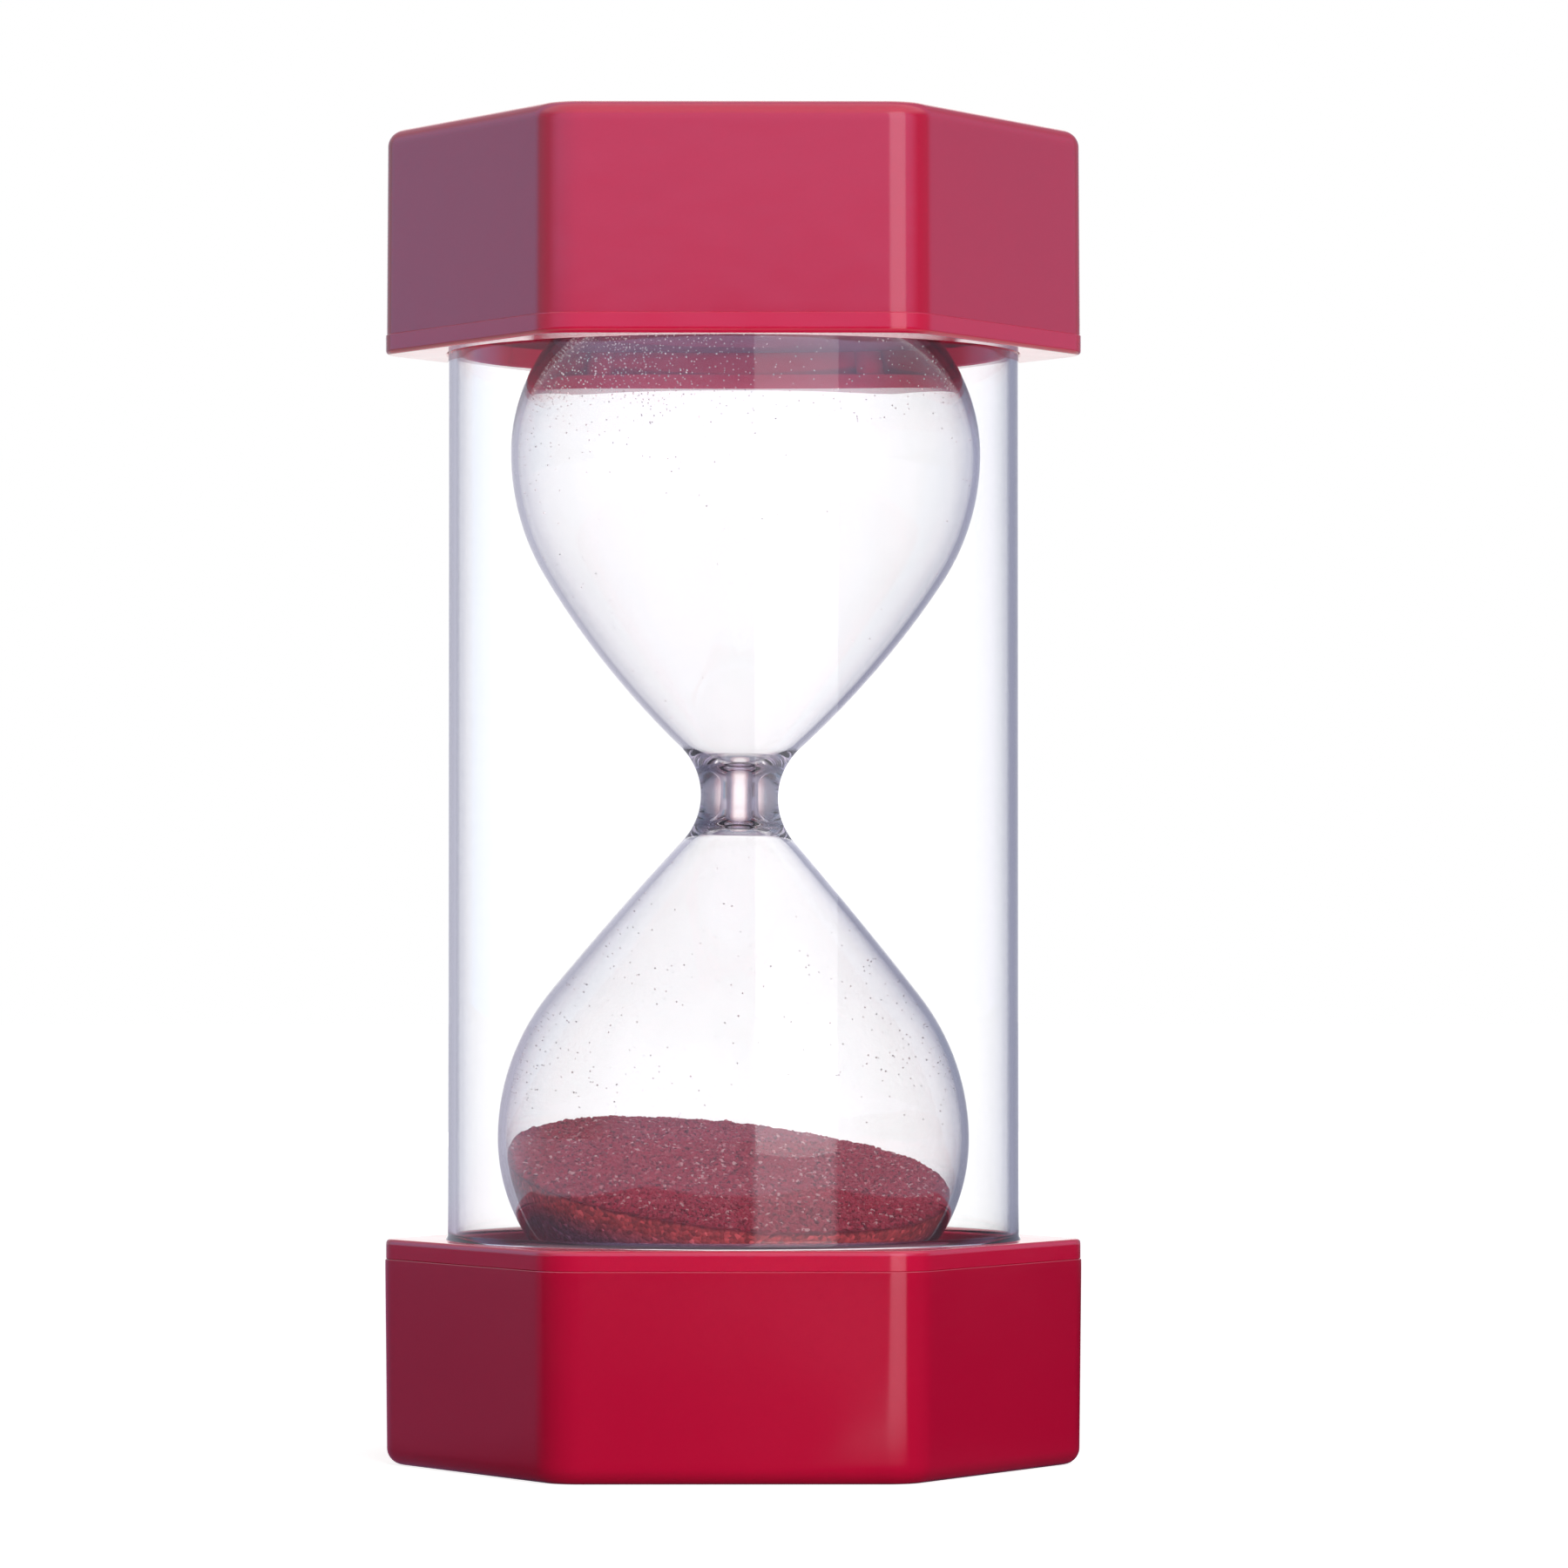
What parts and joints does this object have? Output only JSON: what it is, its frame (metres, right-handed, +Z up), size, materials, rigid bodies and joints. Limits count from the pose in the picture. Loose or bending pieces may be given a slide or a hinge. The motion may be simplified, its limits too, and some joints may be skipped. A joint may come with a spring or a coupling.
{
  "type": "sand timer",
  "caption": "Hourglass in a clear guard tube between two hexagonal plastic caps: sand runs from one glass bulb to the other to time an interval.",
  "frame": {"origin": "middle of the lower cap's flat outer face, on the timer's axis, at the surface that it stands on", "axes": "+Z up along the timer's axis, +X towards a corner of the hexagonal caps, +Y towards a flat"},
  "size_m": [0.0834, 0.0738, 0.16],
  "materials": {
    "cap_plastic": "glossy moulded red plastic",
    "cover_plastic": "glossy moulded red plastic",
    "clear_plastic": "clear extruded plastic",
    "vial_glass": "clear blown glass",
    "plug_plastic": "soft moulded plastic",
    "foam": "closed-cell foam",
    "sand": "loose fine grains"
  },
  "bodies": {
    "timer": {"lower_cap": "cap_plastic", "lower_cover": "cover_plastic", "lower_pad": "foam", "lower_cradle": "foam", "guard_tube": "clear_plastic", "glass_vial": "vial_glass", "filler_plug": "plug_plastic", "upper_cradle": "foam", "upper_pad": "foam", "upper_cover": "cover_plastic", "upper_cap": "cap_plastic"},
    "sand": {"sand_heap": "sand"}
  },
  "joints": [
    {"name": "sand_swirl", "type": "hinge", "parent": "timer", "child": "sand", "pos_m": [0, 0, 0.039], "axis": [0.0175, 0, 0.9998], "continuous": true}
  ]
}
